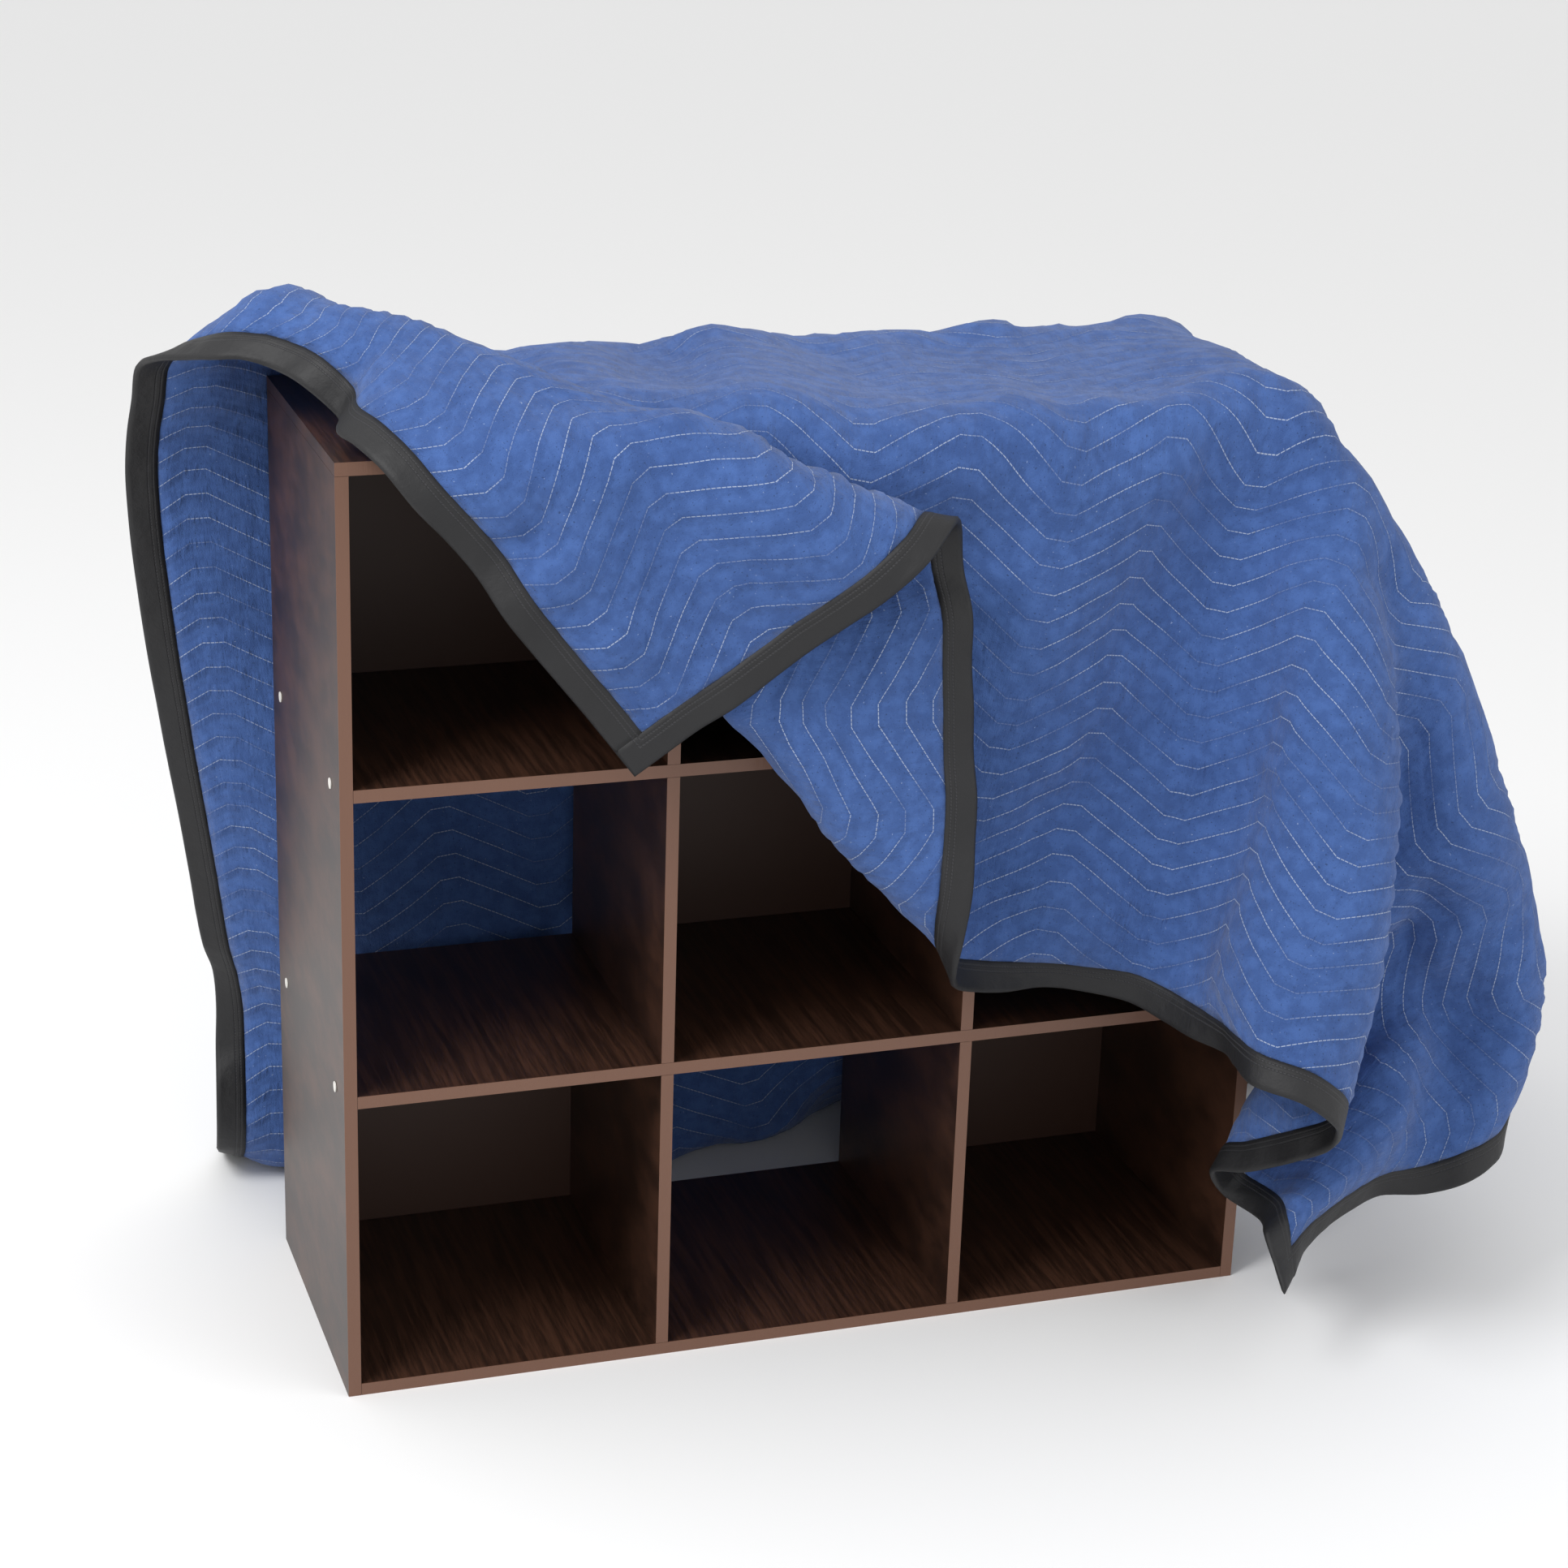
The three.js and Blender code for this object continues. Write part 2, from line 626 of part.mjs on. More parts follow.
function settle(start) {
  const P = Float64Array.from(start);
  const before = Float64Array.from(start);
  const groups = clothLinks();
  const edges = groups.filter((g) => g.kind === "stretch").flatMap((g) => g.links);
  const holds = guideHolds();
  const layers = layerDepths();
  const count = NU * NV;
  let pairs = [];

  const applyLinks = ({ kind, pull, links }) => {
    for (const { a, b, rest } of links) {
      const p = 3 * a;
      const q = 3 * b;
      const x = P[q] - P[p];
      const y = P[q + 1] - P[p + 1];
      const z = P[q + 2] - P[p + 2];
      const length = Math.sqrt(x * x + y * y + z * z);
      const strength = kind === "bend" && length > rest ? 1 : pull;
      const f = (0.5 * strength * (length - rest)) / (length + 1e-9);
      P[p] += f * x;
      P[p + 1] += f * y;
      P[p + 2] += f * z;
      P[q] -= f * x;
      P[q + 1] -= f * y;
      P[q + 2] -= f * z;
    }
  };
  const applyHold = ({ target, corners, weights, pull }) => {
    for (let d = 0; d < 3; d += 1) {
      let place = 0;
      corners.forEach((p, k) => {
        place += weights[k] * P[3 * p + d];
      });
      corners.forEach((p, k) => {
        P[3 * p + d] += weights[k] * pull * (target[d] - place);
      });
    }
  };
  const applyPairs = () => {
    const shift = new Float64Array(3 * count);
    const shares = new Int32Array(count);
    for (const [p, q] of pairs) {
      const way = [0, 1, 2].map((d) => P[3 * p + d] - P[3 * q + d]);
      const length = Math.hypot(...way);
      if (length >= LAYER_GAP) continue;
      const f = (0.5 * (LAYER_GAP - length)) / (length + 1e-9);
      for (let d = 0; d < 3; d += 1) {
        shift[3 * p + d] += f * way[d];
        shift[3 * q + d] -= f * way[d];
      }
      shares[p] += 1;
      shares[q] += 1;
    }
    for (let p = 0; p < count; p += 1) {
      for (let d = 0; d < 3 && shares[p] > 0; d += 1) P[3 * p + d] += shift[3 * p + d] / shares[p];
    }
  };
  const keepLayer = (p) => {
    const deep = layers[p];
    const k = 3 * p;
    if (deep <= 0 || Math.abs(P[k]) >= CASE_WIDTH / 2 + 30 || P[k + 1] >= CASE_DEPTH / 2) return;
    const forward = Math.max(0, -P[k + 1] - CASE_DEPTH / 2);
    const above = Math.max(0, P[k + 2] - CASE_HEIGHT);
    const share = Math.hypot(forward / deep, above / (LAYER_TOP_SHARE * deep));
    if (share >= 1) return;
    if (share < 1e-3) {
      P[k + 1] = -CASE_DEPTH / 2 - deep;
      return;
    }
    if (forward > 0) P[k + 1] = -CASE_DEPTH / 2 - forward / share;
    if (above > 0) P[k + 2] = CASE_HEIGHT + above / share;
  };
  const pushLink = (a, b, share) => {
    const p = 3 * a;
    const q = 3 * b;
    const x = P[p] + share * (P[q] - P[p]);
    const y = P[p + 1] + share * (P[q + 1] - P[p + 1]);
    const way = wayOut(x, y, P[p + 2] + share * (P[q + 2] - P[p + 2]));
    for (let d = 0; d < 3 && way; d += 1) {
      P[p + d] += way[d];
      P[q + d] += way[d];
    }
  };
  const keepOut = () => {
    for (let p = 0; p < count; p += 1) {
      const k = 3 * p;
      const way = wayOut(P[k], P[k + 1], P[k + 2]);
      for (let d = 0; d < 3 && way; d += 1) P[k + d] += way[d];
      P[k + 2] = Math.max(P[k + 2], FLOOR_CLEARANCE);
      keepLayer(p);
    }
    for (const { a, b } of edges) pushLink(a, b, 0.5);
  };

  for (let step = 0; step < STEPS; step += 1) {
    if (step % 10 === 0) pairs = nearPairs(P);
    for (let k = 0; k < 3 * count; k += 1) {
      const move = (P[k] - before[k]) * DAMPING;
      before[k] = P[k];
      P[k] += move - (k % 3 === 2 ? FALL : 0);
    }
    for (let pass = 0; pass < PASSES; pass += 1) {
      groups.forEach(applyLinks);
      holds.forEach(applyHold);
      if (pass % 2 === 0 && step > FREE_STEPS) applyPairs();
      keepOut();
    }
  }
  // The case's corners are pointed, so whole triangles are cleared of it at the end.
  for (let round = 0; round < CLEARING_ROUNDS; round += 1) {
    if (round < IRON_ROUNDS) ironFolds(P);
    clearTriangles(P);
  }
  straightenBinding(P);
  return P;
}

// ---- Solids ----

function cornerNormals(P) {
  const N = new Float64Array(P.length);
  const point = (p) => new THREE.Vector3(P[3 * p], P[3 * p + 1], P[3 * p + 2]);
  for (let j = 0; j < NV; j += 1) {
    for (let i = 0; i < NU; i += 1) {
      const along = point(at(Math.min(i + 1, NU - 1), j)).sub(point(at(Math.max(i - 1, 0), j)));
      const back = point(at(i, Math.min(j + 1, NV - 1))).sub(point(at(i, Math.max(j - 1, 0))));
      const normal = along.normalize().cross(back.normalize()).normalize();
      N.set([normal.x, normal.y, normal.z], 3 * at(i, j));
    }
  }
  return N;
}

// Closed solid over the cells i0..i1 by j0..j1, half its thickness to each side of the settled cloth.
// pulled(i, j) is the neighbour that a corner is moved towards by the gap, or null.
function sheetSolid(P, N, [i0, i1], [j0, j1], thickness, pulled = () => null) {
  const across = i1 - i0 + 1;
  const positions = [];
  for (const side of [1, -1]) {
    for (let j = j0; j <= j1; j += 1) {
      for (let i = i0; i <= i1; i += 1) {
        const p = 3 * at(i, j);
        const place = new THREE.Vector3(P[p], P[p + 1], P[p + 2]);
        const towards = pulled(i, j);
        if (towards) {
          const q = 3 * at(...towards);
          const way = new THREE.Vector3(P[q], P[q + 1], P[q + 2]).sub(place).normalize();
          place.addScaledVector(way, SEAM_GAP);
        }
        const normal = new THREE.Vector3(N[p], N[p + 1], N[p + 2]);
        place.addScaledVector(normal, (side * thickness) / 2);
        positions.push(place.x, place.y, place.z);
      }
    }
  }
  const under = across * (j1 - j0 + 1);
  const corner = (i, j) => (j - j0) * across + (i - i0);
  const faces = [];
  const quad = (a, b, c, d) => faces.push(a, b, c, a, c, d);
  for (let j = j0; j < j1; j += 1) {
    for (let i = i0; i < i1; i += 1) {
      const a = corner(i, j);
      const b = corner(i + 1, j);
      const c = corner(i + 1, j + 1);
      const d = corner(i, j + 1);
      quad(a, b, c, d);
      faces.push(under + a, under + c, under + b, under + a, under + d, under + c);
    }
  }
  const rim = [];
  for (let i = i0; i < i1; i += 1) rim.push(corner(i, j0));
  for (let j = j0; j < j1; j += 1) rim.push(corner(i1, j));
  for (let i = i1; i > i0; i -= 1) rim.push(corner(i, j1));
  for (let j = j1; j > j0; j -= 1) rim.push(corner(i0, j));
  rim.forEach((a, k) => {
    const b = rim[(k + 1) % rim.length];
    quad(a, under + a, under + b, b);
  });
  const geometry = new THREE.BufferGeometry();
  geometry.setAttribute("position", new THREE.Float32BufferAttribute(positions, 3));
  geometry.setIndex(faces);
  geometry.computeVertexNormals();
  return geometry;
}

function blanketMeshes() {
  const P = settle(startShape());
  const N = cornerNormals(P);
  const lastU = NU - 1;
  const lastV = NV - 1;
  const mesh = (name, geometry, material) => {
    const made = new THREE.Mesh(geometry, material);
    made.name = name;
    return made;
  };
  const binding = (name, spanI, spanJ, pulled) =>
    mesh(name, sheetSolid(P, N, spanI, spanJ, BINDING_THICKNESS, pulled), MATERIALS.binding);
  const panel = sheetSolid(P, N, [1, lastU - 1], [1, lastV - 1], PANEL_THICKNESS);
  return [
    mesh("quilted_panel", panel, MATERIALS.cloth),
    binding("binding_front", [0, lastU], [0, 1], (i, j) => (j === 1 ? [i, 0] : null)),
    binding("binding_back", [0, lastU], [lastV - 1, lastV], (i, j) => (j < lastV ? [i, lastV] : null)),
    binding("binding_left", [0, 1], [1, lastV - 1], (i, j) => sideShift(i, j, 0, 1)),
    binding("binding_right", [lastU - 1, lastU], [1, lastV - 1], (i, j) => sideShift(i, j, lastU, lastU - 1)),
  ];
}

// Side bindings leave the gap to the panel along their inner line.
function sideShift(i, j, outer, inner) {
  return i === inner ? [outer, j] : null;
}

function board(name, size, centre, material = MATERIALS.board) {
  const mesh = new THREE.Mesh(new THREE.BoxGeometry(...size), material);
  mesh.name = name;
  mesh.position.set(...centre);
  return mesh;
}

function bookcaseMeshes() {
  const insideWidth = CASE_WIDTH - 2 * BOARD;
  const cellWidth = (insideWidth - (CELLS - 1) * BOARD) / CELLS;
  const cellHeight = (CASE_HEIGHT - (CELLS + 1) * BOARD) / CELLS;
  const cellX = (column) => (column - (CELLS - 1) / 2) * (cellWidth + BOARD);
  const cellZ = (row) => BOARD + cellHeight / 2 + row * (cellHeight + BOARD);
  const sideHeight = CASE_HEIGHT - BOARD - GAP;
  const sideX = (CASE_WIDTH - BOARD) / 2;
  const meshes = [
    board("top_board", [CASE_WIDTH, CASE_DEPTH, BOARD], [0, 0, CASE_HEIGHT - BOARD / 2]),
    board("left_side", [BOARD, CASE_DEPTH, sideHeight], [-sideX, 0, sideHeight / 2]),
    board("right_side", [BOARD, CASE_DEPTH, sideHeight], [sideX, 0, sideHeight / 2]),
  ];
  for (let row = 0; row < CELLS; row += 1) {
    const z = BOARD / 2 + row * (cellHeight + BOARD);
    meshes.push(board(`shelf_${row}`, [insideWidth - 2 * GAP, CASE_DEPTH, BOARD], [0, 0, z]));
    for (let k = 0; k < CELLS - 1; k += 1) {
      const x = (cellX(k) + cellX(k + 1)) / 2;
      const size = [BOARD, CASE_DEPTH, cellHeight - 2 * GAP];
      meshes.push(board(`divider_${row}_${k}`, size, [x, 0, cellZ(row)]));
    }
  }
  for (const { column, row } of BACKED_CELLS) {
    const size = [cellWidth - 2 * GAP, BACK_SHEET, cellHeight - 2 * GAP];
    const centre = [cellX(column), (CASE_DEPTH - BACK_SHEET) / 2, cellZ(row)];
    meshes.push(board(`back_${column}_${row}`, size, centre, MATERIALS.backSheet));
  }
  for (let row = 1; row < CELLS; row += 1) {
    for (const [place, y] of [["front", -1], ["rear", 1]]) {
      const cap = new THREE.Mesh(new THREE.CylinderGeometry(CAP_RADIUS, CAP_RADIUS, CAP_HEIGHT, 16), MATERIALS.cap);
      cap.name = `cap_${row}_${place}`;
      cap.rotation.z = Math.PI / 2;
      const z = BOARD / 2 + row * (cellHeight + BOARD);
      cap.position.set(-CASE_WIDTH / 2 - GAP - CAP_HEIGHT / 2, y * (CASE_DEPTH / 2 - CAP_FROM_EDGE), z);
      meshes.push(cap);
    }
  }
  return meshes;
}

const part = new THREE.Group();
part.name = "draped_bookcase";
part.add(...bookcaseMeshes(), ...blanketMeshes());
export default part;
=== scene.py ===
"""A quilted moving blanket thrown over a dark cube bookcase, dressed on the CAD frame."""

import bpy
import numpy as np
from mathutils import Matrix, Vector


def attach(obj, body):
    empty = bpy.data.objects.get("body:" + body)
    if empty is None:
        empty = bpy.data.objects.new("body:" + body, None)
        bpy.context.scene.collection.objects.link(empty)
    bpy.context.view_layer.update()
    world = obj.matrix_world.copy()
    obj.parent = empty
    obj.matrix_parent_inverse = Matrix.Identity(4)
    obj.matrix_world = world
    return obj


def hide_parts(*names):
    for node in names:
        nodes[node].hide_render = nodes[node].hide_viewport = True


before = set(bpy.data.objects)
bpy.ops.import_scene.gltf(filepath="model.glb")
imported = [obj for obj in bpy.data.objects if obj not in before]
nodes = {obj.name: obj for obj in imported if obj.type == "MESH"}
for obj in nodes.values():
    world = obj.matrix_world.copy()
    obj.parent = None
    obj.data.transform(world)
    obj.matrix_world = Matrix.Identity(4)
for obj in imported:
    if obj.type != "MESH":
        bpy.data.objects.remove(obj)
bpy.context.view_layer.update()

# ---- Camera: the photograph's, in metres in the row frame ----

LENS_MM = 76.58
SENSOR_MM = 36.0
CAMERA_AT = Vector((-0.97408, -2.86969, 1.62645))
CAMERA_RIGHT = Vector((0.948973, -0.313807, 0.031245))
CAMERA_DOWN = Vector((-0.080309, -0.336286, -0.938330))
CAMERA_FORWARD = Vector((0.304962, 0.887940, -0.344327))

camera_data = bpy.data.cameras.new("camera")
camera_data.lens = LENS_MM
camera_data.sensor_width = SENSOR_MM
camera_data.sensor_fit = "HORIZONTAL"
camera = bpy.data.objects.new("camera", camera_data)
turn = Matrix((CAMERA_RIGHT, -CAMERA_DOWN, -CAMERA_FORWARD)).transposed()
camera.matrix_world = Matrix.Translation(CAMERA_AT) @ turn.to_4x4()
bpy.context.collection.objects.link(camera)
bpy.context.scene.camera = camera

# ---- Shader sockets with arithmetic ----


class Socket:
    """A shader value with arithmetic: every operation adds its nodes to the value's tree."""

    def __init__(self, tree, output):
        self.tree, self.output = tree, output

    def made(self, kind, inputs=(), out=0, **settings):
        node = self.tree.nodes.new(kind)
        for name, value in settings.items():
            setattr(node, name, value)
        for name, value in dict(inputs).items():
            feed(self.tree, node.inputs[name], value)
        return Socket(self.tree, node.outputs[out])

    def math(self, operation, *others):
        values = {0: self, **{k + 1: v for k, v in enumerate(others)}}
        return self.made("ShaderNodeMath", values, operation=operation)

    def __add__(self, other):
        return self.math("ADD", other)

    def __sub__(self, other):
        return self.math("SUBTRACT", other)

    def __mul__(self, other):
        return self.math("MULTIPLY", other)

    def __truediv__(self, other):
        return self.math("DIVIDE", other)

    def __rsub__(self, other):
        return (self * -1.0) + other

    def part(self, index):
        """The x, y or z of a vector."""
        return self.made("ShaderNodeSeparateXYZ", {0: self}, out=index)

    def stretched(self, factors):
        """A vector with each part multiplied by its own factor."""
        return self.made("ShaderNodeVectorMath", {0: self, 1: factors}, operation="MULTIPLY")

    def step(self, low, high):
        """0 below low, 1 above high, smooth between."""
        inputs = {"Value": self, "From Min": low, "From Max": high}
        return self.made("ShaderNodeMapRange", inputs, interpolation_type="SMOOTHSTEP")


def feed(tree, socket, value):
    """Links a Socket to an input, or sets a plain value on it."""
    if isinstance(value, Socket):
        tree.links.new(value.output, socket)
    else:
        socket.default_value = value


def new_material(name, roughness):
    """A material, its tree's wrapper and its Principled node."""
    material = bpy.data.materials.new(name)
    material.use_nodes = True
    shader = material.node_tree.nodes["Principled BSDF"]
    shader.inputs["Roughness"].default_value = roughness
    return material, Socket(material.node_tree, None), shader


def noise(root, where, scale, detail=3.0, roughness=0.55):
    inputs = {"Vector": where, "Scale": scale, "Detail": detail, "Roughness": roughness}
    return root.made("ShaderNodeTexNoise", inputs)


def patches(root, where, low, high, **settings):
    """Noise as soft patches: 0 where it is below low and 1 where it is above high."""
    return noise(root, where, **settings).step(low, high)


# Where a Mix node keeps its factor, its two colours and its mixed colour.
MIX_FACTOR, MIX_A, MIX_B, MIX_COLOUR = 0, 6, 7, 2


def mixed(root, factor, a, b):
    """Colour a where factor is 0 and b where it is 1."""
    inputs = {MIX_FACTOR: factor, MIX_A: a, MIX_B: b}
    return root.made("ShaderNodeMix", inputs, out=MIX_COLOUR, data_type="RGBA")


def bumped(root, shader, height, distance, strength=1.0):
    """Gives a shader a bump from a height socket."""
    inputs = {"Height": height, "Distance": distance, "Strength": strength}
    feed(root.tree, shader.inputs["Normal"], root.made("ShaderNodeBump", inputs))


# ---- Bookcase: the CAD boards, with laminate, edge banding with a painted highlight, and caps ----

WALNUT_DARK = (0.020, 0.0085, 0.0048, 1)
WALNUT_LIGHT = (0.062, 0.026, 0.0145, 1)
# Light brown on the boards' front faces: the edge banding's colour with a painted highlight.
BANDING_HIGHLIGHT = (0.150, 0.070, 0.042, 1)
BACK_BROWN = (0.052, 0.022, 0.013, 1)
CAP_WHITE = (0.72, 0.70, 0.66, 1)
CASE_FRONT_Y = -0.162
# The banding and its painted highlight fade out between these distances behind the case's front.
BANDING_HIGHLIGHT_FROM, BANDING_HIGHLIGHT_TO = 0.0004, 0.0006
# The grain is noise with its places stretched along x, y and z.
GRAIN_STRETCH = (60.0, 3.0, 6.0)
GRAIN = {"low": 0.35, "high": 0.7, "scale": 3.0, "detail": 5.0, "roughness": 0.7}


def board_material():
    """Dark laminate with a fine grain, and light brown on the front edges: edge banding with a
    painted highlight.
    """
    material, root, shader = new_material("walnut_laminate", roughness=0.42)
    where = root.made("ShaderNodeTexCoord", out="Object")
    grain = patches(root, where.stretched(GRAIN_STRETCH), **GRAIN)
    wood = mixed(root, grain, WALNUT_DARK, WALNUT_LIGHT)
    front = 1.0 - where.part(1).step(CASE_FRONT_Y + BANDING_HIGHLIGHT_FROM, CASE_FRONT_Y + BANDING_HIGHLIGHT_TO)
    feed(root.tree, shader.inputs["Base Color"], mixed(root, front, wood, BANDING_HIGHLIGHT))
    bumped(root, shader, grain, distance=0.0002, strength=0.4)
    return material


def plain_material(name, colour, roughness):
    """A material of one colour."""
    material, _root, shader = new_material(name, roughness)
    shader.inputs["Base Color"].default_value = colour
    return material


walnut = board_material()
back_sheet = plain_material("back_sheet", BACK_BROWN, roughness=0.5)
cap_plastic = plain_material("cap_plastic", CAP_WHITE, roughness=0.45)
for name, node in nodes.items():
    if name.startswith(("quilted", "binding")):
        continue
    look = back_sheet if name.startswith("back_") else walnut
    node.data.materials.clear()
    node.data.materials.append(cap_plastic if name.startswith("cap_") else look)

# ---- Blanket: the CAD panel's grid, refined and quilted ----

BLANKET_WIDTH = 1.829
BLANKET_LENGTH = 2.032
# How wide the binding is.
EDGE = 0.030
# The middle of the cloth is kept at least this far above the floor.
FLOOR_CLEARANCE = 0.005
# How many grid lines the CAD panel has, spaced across the cloth (u) and along it (v).
LINES_U = 44
LINES_V = 49
# One triangle on each side of the panel, at the thrown-back corner: each corner's line numbers
# and place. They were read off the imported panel, and change if the drape in part.mjs does.
OUTER_SEED = {
    (0, 0): (-0.2024, -0.2370, 0.6648),
    (1, 0): (-0.1713, -0.2455, 0.6901),
    (1, 1): (-0.1953, -0.2434, 0.7224),
}
INNER_SEED = {
    (0, 0): (-0.2016, -0.2341, 0.6648),
    (1, 0): (-0.1703, -0.2426, 0.6903),
    (1, 1): (-0.1948, -0.2405, 0.7229),
}


def walked_side(node, seed):
    """One side of the panel as a grid of places: labels spread from the seed triangle, and
    across an edge p, q from a corner r the next corner's label is p + q - r."""
    count = len(node.data.vertices)
    co = np.empty(3 * count)
    node.data.vertices.foreach_get("co", co)
    places, merged = np.unique(co.reshape(-1, 3).round(6), axis=0, return_inverse=True)
    merged = merged.ravel()
    corners = [tuple(int(merged[k]) for k in face.vertices) for face in node.data.polygons]
    beside = {}
    for t, tri in enumerate(corners):
        for k in range(3):
            beside.setdefault(frozenset((tri[k], tri[k - 1])), []).append(t)
    label = {}
    for place_label, place in seed.items():
        nearest = np.argmin(((places - place) ** 2).sum(axis=1))
        label[int(nearest)] = np.array(place_label)
    queue = [t for t, tri in enumerate(corners) if all(c in label for c in tri)]
    seen = set(queue)
    while queue:
        tri = corners[queue.pop()]
        for k in range(3):
            p, q, r = tri[k], tri[k - 1], tri[k - 2]
            for other in beside[frozenset((p, q))]:
                far = [c for c in corners[other] if c not in (p, q)]
                spot = label[p] + label[q] - label[r]
                inside = 0 <= spot[0] < LINES_U and 0 <= spot[1] < LINES_V
                if other in seen or not inside or len(far) != 1:
                    continue
                seen.add(other)
                label[far[0]] = spot
                queue.append(other)
    grid = np.full((LINES_V, LINES_U, 3), np.nan)
    for corner, (i, j) in label.items():
        grid[j, i] = places[corner]
    return grid


def hem_added(grid):
    """The grid with one more line all round, in line with the cloth, for the binding."""

    def beyond(edge, inner):
        way = edge - inner
        return edge + EDGE * way / np.linalg.norm(way, axis=-1, keepdims=True)

    grid = np.concatenate([beyond(grid[:1], grid[1:2]), grid, beyond(grid[-1:], grid[-2:-1])])
    left, right = beyond(grid[:, :1], grid[:, 1:2]), beyond(grid[:, -1:], grid[:, -2:-1])
    grid = np.concatenate([left, grid, right], axis=1)
    grid[..., 2] = np.maximum(grid[..., 2], FLOOR_CLEARANCE)
    return grid


panel_node = nodes["quilted_panel"]
middle = (walked_side(panel_node, OUTER_SEED) + walked_side(panel_node, INNER_SEED)) / 2
if np.isnan(middle).any():
    raise ValueError(f"the panel's grid has {int(np.isnan(middle[..., 0]).sum())} places missing")
cloth = hem_added(middle)
FAR_U, FAR_V = BLANKET_WIDTH - EDGE, BLANKET_LENGTH - EDGE
LINE_U = np.concatenate([[0], np.linspace(EDGE, FAR_U, LINES_U), [BLANKET_WIDTH]])
LINE_V = np.concatenate([[0], np.linspace(EDGE, FAR_V, LINES_V), [BLANKET_LENGTH]])
# Keeps a normal of no length from dividing by zero.
TINY = 1e-12


def cubic_shares(line, values):
    """Catmull-Rom shares: one row per value, one column per line."""
    cell = np.clip(np.searchsorted(line, values, side="right") - 1, 0, len(line) - 2)
    t = (values - line[cell]) / (line[cell + 1] - line[cell])
    parts = [
        (-1, -0.5 * t + t**2 - 0.5 * t**3),
        (0, 1 - 2.5 * t**2 + 1.5 * t**3),
        (1, 0.5 * t + 2 * t**2 - 1.5 * t**3),
        (2, -0.5 * t**2 + 0.5 * t**3),
    ]
    shares = np.zeros((len(values), len(line)))
    for offset, part in parts:
        column = np.clip(cell + offset, 0, len(line) - 1)
        np.add.at(shares, (np.arange(len(values)), column), part)
    return shares


def on_cloth(u, v):
    """Places and normals on the draped cloth for grids of u and v that share their columns."""
    across = cubic_shares(LINE_U, u[0])
    rows = np.stack([cubic_shares(LINE_V, v[:, k]) for k in range(v.shape[1])], axis=1)
    columns = np.einsum("kc,rcd->rkd", across, cloth)
    place = np.einsum("jkr,rkd->jkd", rows, columns)
    along = np.gradient(place, axis=1)
    back = np.gradient(place, axis=0)
    normal = np.cross(along, back)
    normal /= np.linalg.norm(normal, axis=-1, keepdims=True) + TINY
    return place, normal


# Quilting: rows of stitches an inch apart that run along u and wave, crest to crest 200 mm.
ROW_PITCH = 0.0251
WAVE_HALF = 0.0246
WAVE_MIDDLE = 0.0413
COLUMN_PITCH = 0.100
FIRST_CREST = 0.165
# A flank is straight over this share of its height, and beyond it the crest or trough is flat.
FLAT_FROM = 0.80
# The puffs between two rows: their height, the power of a sine that gives their shape, and how
# far and over what size they are uneven. Wrinkles are added on top.
PUFF = 0.0030
PUFF_POWER = 0.7
UNEVEN_SHARE = 0.3
UNEVEN_LIMITS = (0.2, 1.8)
UNEVEN = {"seed": 3, "size": 0.06}
WRINKLE_HEIGHT = 0.0007
WRINKLES = {"seed": 7, "size": 0.035}
# How many waves make up a ripple, and how far their lengths vary around its size.
RIPPLE_WAVES = 14
RIPPLE_SIZES = (0.6, 1.6)


def wave(u):
    """How far back a stitch row lies at u: straight flanks with short, flat crests and troughs."""
    turn = (u - FIRST_CREST) / (2 * COLUMN_PITCH)
    flank = 1 - 4 * np.abs(turn - np.floor(turn + 0.5))
    return WAVE_HALF * np.clip(flank / FLAT_FROM, -1, 1)


def ripple(u, v, seed, size):
    """Smooth random ripples about size metres long, from a sum of waves."""
    draw = np.random.default_rng(seed)
    total = np.zeros_like(u)
    for _ in range(RIPPLE_WAVES):
        heading, phase = draw.uniform(0, 2 * np.pi, 2)
        rate = 2 * np.pi / (size * draw.uniform(*RIPPLE_SIZES))
        total += np.sin(rate * (u * np.cos(heading) + v * np.sin(heading)) + phase)
    return total / np.sqrt(RIPPLE_WAVES)


def quilt_height(u, v):
    """Puffed cloth between the stitch rows, uneven from place to place."""
    phase = (v - WAVE_MIDDLE - wave(u)) / ROW_PITCH
    puff = np.abs(np.sin(np.pi * phase)) ** PUFF_POWER
    uneven = np.clip(1 + UNEVEN_SHARE * ripple(u, v, **UNEVEN), *UNEVEN_LIMITS)
    return PUFF * puff * uneven + WRINKLE_HEIGHT * ripple(u, v, **WRINKLES)


def new_object(name, vertices, faces, uv, material):
    """A mesh object from vertices, quads and each vertex's place on the flat cloth."""
    mesh = bpy.data.meshes.new(name)
    mesh.from_pydata(vertices.tolist(), [], faces.tolist())
    mesh.update()
    layer = mesh.uv_layers.new(name="flat")
    loops = np.empty(len(mesh.loops), dtype=np.int32)
    mesh.loops.foreach_get("vertex_index", loops)
    layer.data.foreach_set("uv", uv[loops].astype(np.float32).ravel())
    mesh.polygons.foreach_set("use_smooth", np.ones(len(mesh.polygons), dtype=bool))
    mesh.materials.append(material)
    made = bpy.data.objects.new(name, mesh)
    bpy.context.collection.objects.link(made)
    return made


